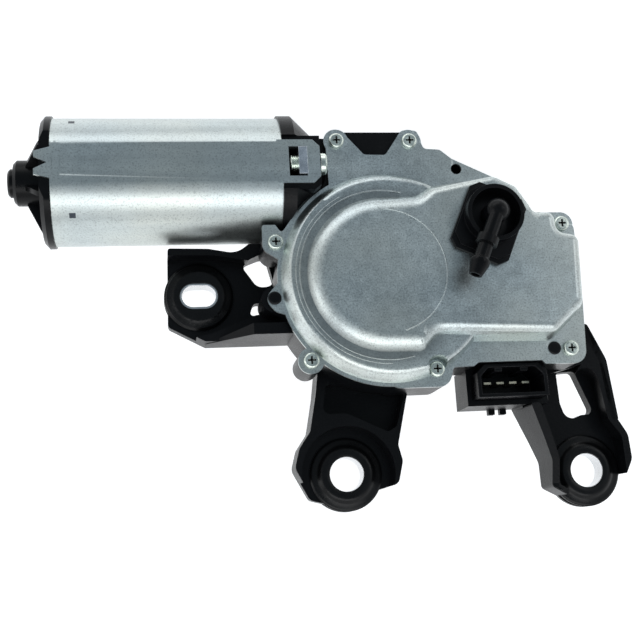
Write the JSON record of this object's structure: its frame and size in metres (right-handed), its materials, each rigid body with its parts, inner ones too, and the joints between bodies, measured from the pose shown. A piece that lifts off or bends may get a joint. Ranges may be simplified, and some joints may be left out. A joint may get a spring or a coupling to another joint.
{
  "type": "wiper motor",
  "caption": "Rear-window wiper motor: flat gear housing with pressed cover, motor can, arms with rubber feet, output shaft with washer inlet and a plug socket.",
  "frame": {"origin": "on the axis of the output shaft, in the plane of the lower faces of the three feet", "axes": "+Z along the output shaft towards the cover, the free end of the shaft points to -Z; +X along the motor axis from the can to the gear housing; +Y from the feet to the motor"},
  "size_m": [0.2331, 0.1547, 0.1175],
  "materials": {
    "cast": "matt dark coated die casting",
    "galvanised": "galvanised sheet, satin",
    "gasket": "matt",
    "screw_steel": "zinc plated",
    "black_plastic": "fine matt moulding",
    "ferrite": "dark ferrite",
    "steel": "turned",
    "lamination": "stacked sheet",
    "copper": "copper",
    "bronze": "sintered bronze",
    "carbon": "carbon",
    "gear_plastic": "natural moulding",
    "board": "laminate board",
    "tin": "tinned contact",
    "black_rubber": "matt",
    "bright_steel": "bright drawn sleeve"
  },
  "bodies": {
    "housing": {"gear_housing": "cast", "cover_plate": "galvanised", "cover_gasket": "gasket", "cover_screws": "screw_steel", "locating_plugs": "black_plastic", "motor_can": "galvanised", "end_cap": "black_plastic", "can_nuts": "screw_steel", "can_screws": "screw_steel", "field_magnets": "ferrite", "rear_bearing": "bronze", "front_bearing": "bronze", "end_bush": "bronze", "thrust_pad": "steel", "brush_holder": "black_plastic", "brushes": "carbon", "brush_springs": "steel", "wheel_axle": "steel", "axle_clip": "steel", "shaft_bushes": "bronze", "thrust_washer": "steel", "tower_seal": "black_rubber", "connector_shroud": "black_plastic", "connector_pins": "tin", "contact_plate": "board", "inlet_flange": "black_plastic", "inlet_elbow": "black_plastic", "inlet_ring": "black_rubber", "water_tube": "black_plastic", "centre_grommet": "black_rubber", "centre_sleeve": "bright_steel", "right_grommet": "black_rubber", "right_sleeve": "bright_steel", "left_grommet": "black_rubber", "left_sleeve": "bright_steel"},
    "armature": {"armature_shaft": "steel", "armature_core": "lamination", "armature_windings": "copper", "commutator": "copper"},
    "wheel": {"worm_wheel": "gear_plastic", "crank_pin": "steel"},
    "output": {"output_shaft": "steel", "output_pinion": "steel", "shaft_clip": "steel", "shaft_circlip": "steel"},
    "link": {"link_plate": "steel", "sector_pin": "steel"},
    "rod": {"drive_rod": "steel"}
  },
  "joints": [
    {"name": "armature_spin", "type": "hinge", "parent": "housing", "child": "armature", "pos_m": [-0.12, 0.0236, 0.015], "axis": [1, 0, 0], "continuous": true},
    {"name": "wheel_spin", "type": "hinge", "parent": "housing", "child": "wheel", "pos_m": [-0.0397, -0.01713, 0.015], "axis": [0, 0, 1], "continuous": true},
    {"name": "output_swing", "type": "hinge", "parent": "housing", "child": "output", "pos_m": [0, 0, 0], "axis": [0, 0, 1], "range_deg": [-50, 50]},
    {"name": "link_swing", "type": "hinge", "parent": "housing", "child": "link", "pos_m": [0, 0, 0.03], "axis": [0, 0, 1], "range_deg": [-21.9, 21.9]},
    {"name": "rod_swing", "type": "hinge", "parent": "link", "child": "rod", "pos_m": [-0.00147, -0.01995, 0.027], "axis": [0, 0, 1], "range_deg": [-21.9, 21.9]}
  ],
  "couplings": [
    {"joint": "wheel_spin", "follows": "armature_spin", "ratio": 0.017544},
    {"joint": "link_swing", "follows": "output_swing", "ratio": 0.4375},
    {"joint": "rod_swing", "follows": "output_swing", "ratio": -0.4375}
  ]
}
